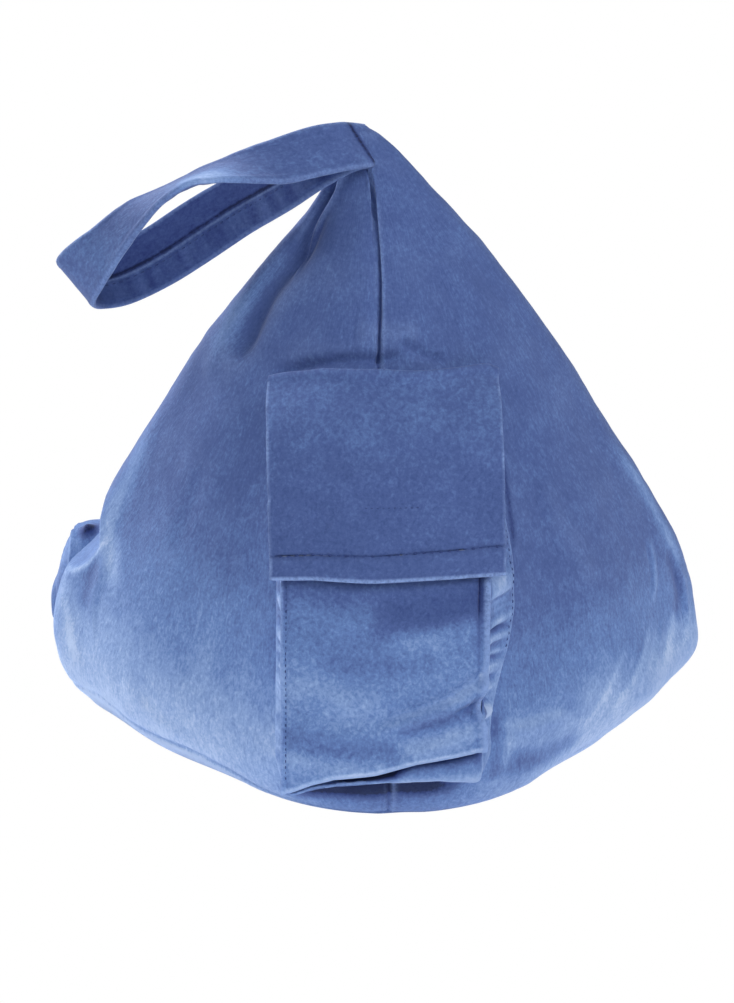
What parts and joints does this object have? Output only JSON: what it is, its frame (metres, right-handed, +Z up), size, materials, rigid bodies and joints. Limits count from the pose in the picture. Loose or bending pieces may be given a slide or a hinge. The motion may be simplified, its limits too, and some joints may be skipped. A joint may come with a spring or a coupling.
{
  "type": "book rest pillow",
  "caption": "Filled pyramid pillow that props a book on its sloping face and padded ledge, with a flapped bellows pocket on its back and a flat carry loop at its tip.",
  "frame": {"origin": "middle of the footprint, on the surface the pillow stands on", "axes": "+Z up, +Y out of the reading face towards the ledge, -Y out of the back with the pocket, +X to the right when the back is looked at"},
  "size_m": [0.306, 0.2449, 0.2479],
  "materials": {
    "blue_suede_cloth": "brushed microsuede, mottled nap"
  },
  "bodies": {
    "root": {"body": "blue_suede_cloth", "front_ledge": "blue_suede_cloth", "pocket_front": "blue_suede_cloth", "pocket_gusset": "blue_suede_cloth", "pocket_flap": "blue_suede_cloth", "carry_loop": "blue_suede_cloth"}
  },
  "joints": []
}
